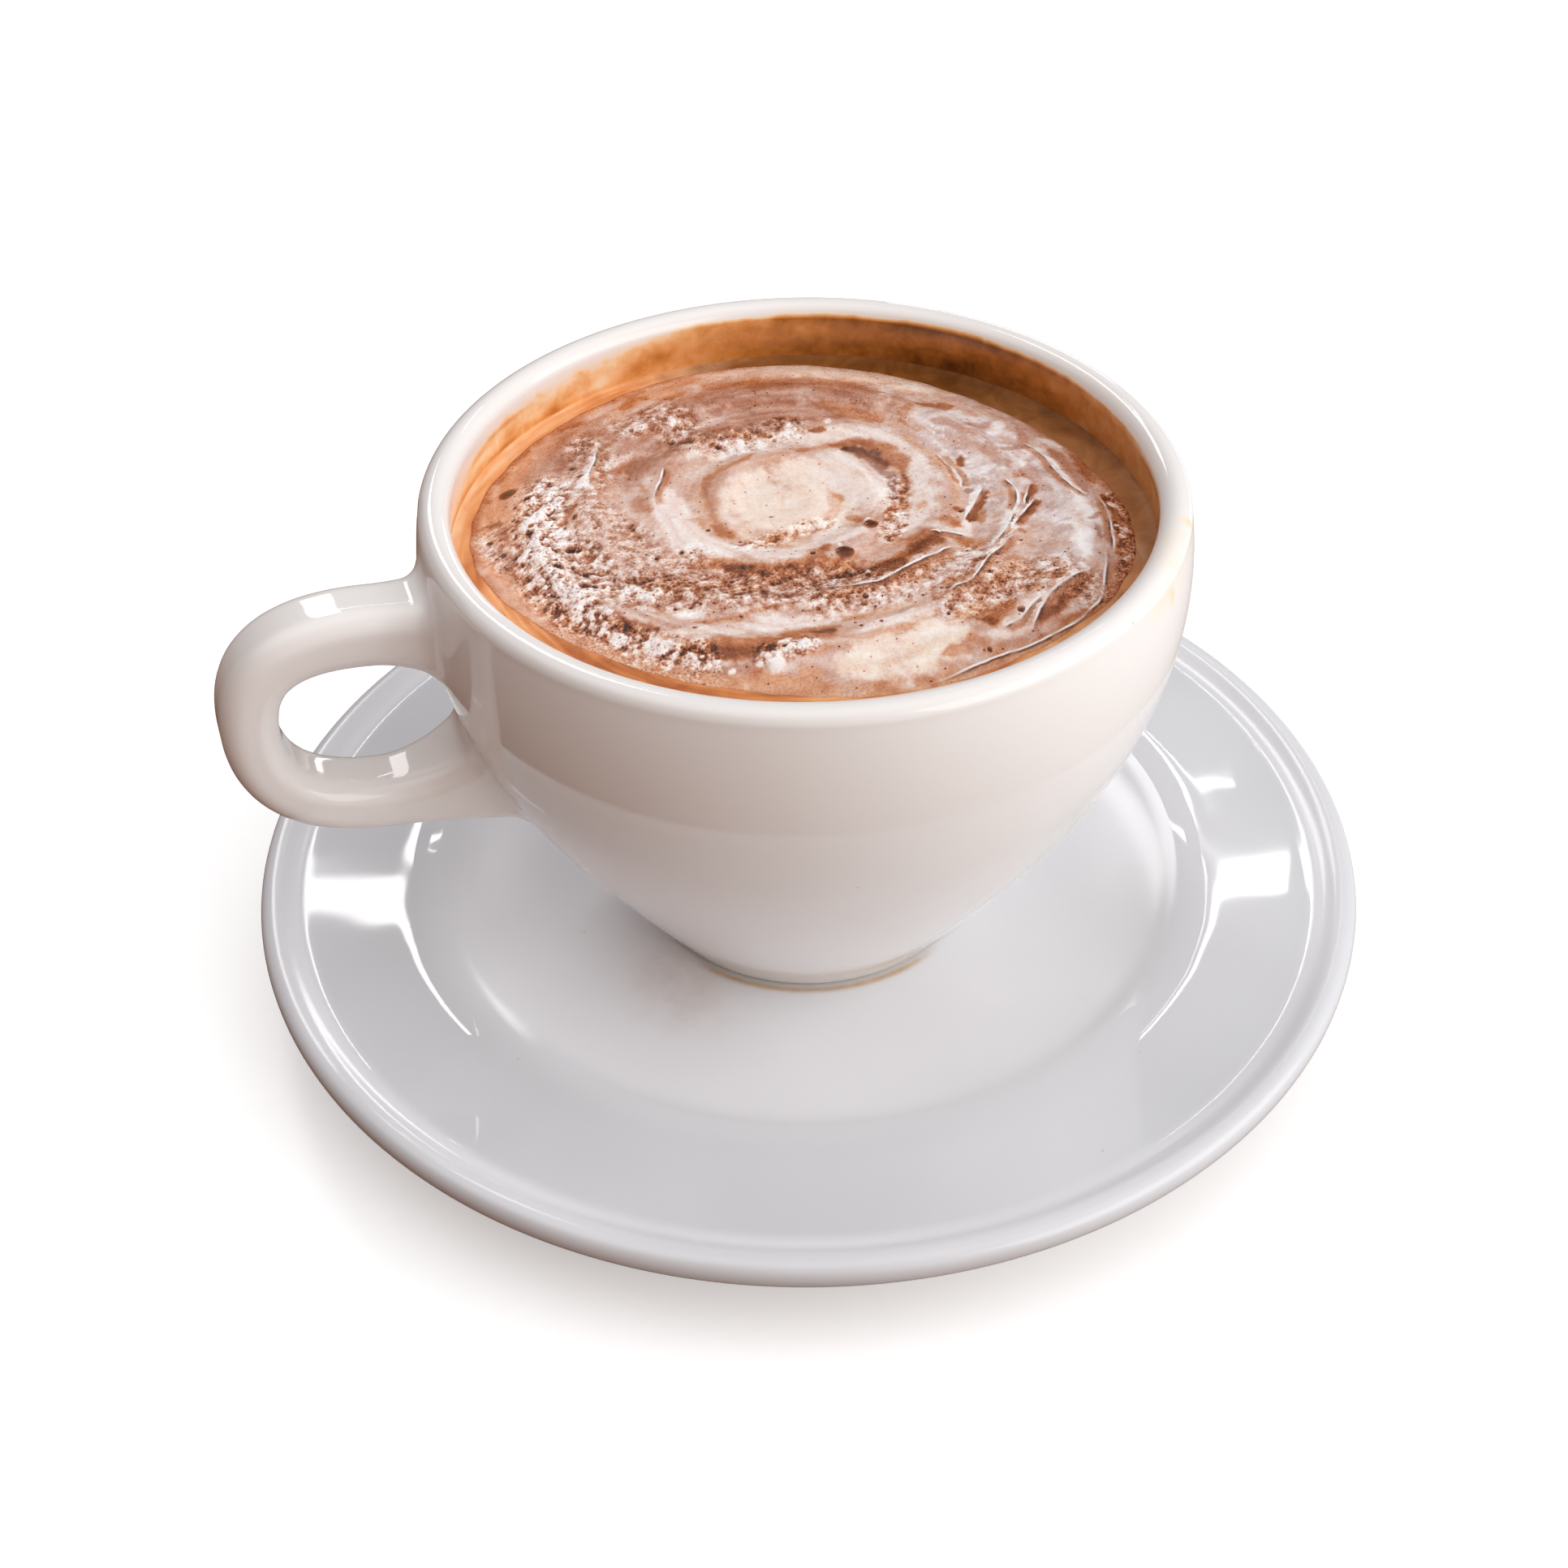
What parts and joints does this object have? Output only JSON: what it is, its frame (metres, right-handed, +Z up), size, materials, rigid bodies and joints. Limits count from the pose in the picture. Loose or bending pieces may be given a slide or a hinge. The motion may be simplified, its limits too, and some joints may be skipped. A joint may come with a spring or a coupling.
{
  "type": "caffe mocha in a cup with saucer",
  "caption": "Milky chocolate coffee with swirled foam in a white glazed cup with an ear handle, on its round saucer.",
  "frame": {"origin": "on the table, under the centre of the saucer's foot ring", "axes": "+Z up along the axis of the saucer and cup; the cup's handle points along -X; +Y completes the right-handed frame"},
  "size_m": [0.15, 0.15, 0.0736],
  "materials": {
    "saucer_glaze": "gloss",
    "cup_glaze": "gloss",
    "mocha": "gloss",
    "milk_foam": "satin"
  },
  "bodies": {
    "root": {"saucer": "saucer_glaze", "cup": "cup_glaze", "mocha_drink": "mocha", "milk_foam": "milk_foam"}
  },
  "joints": []
}
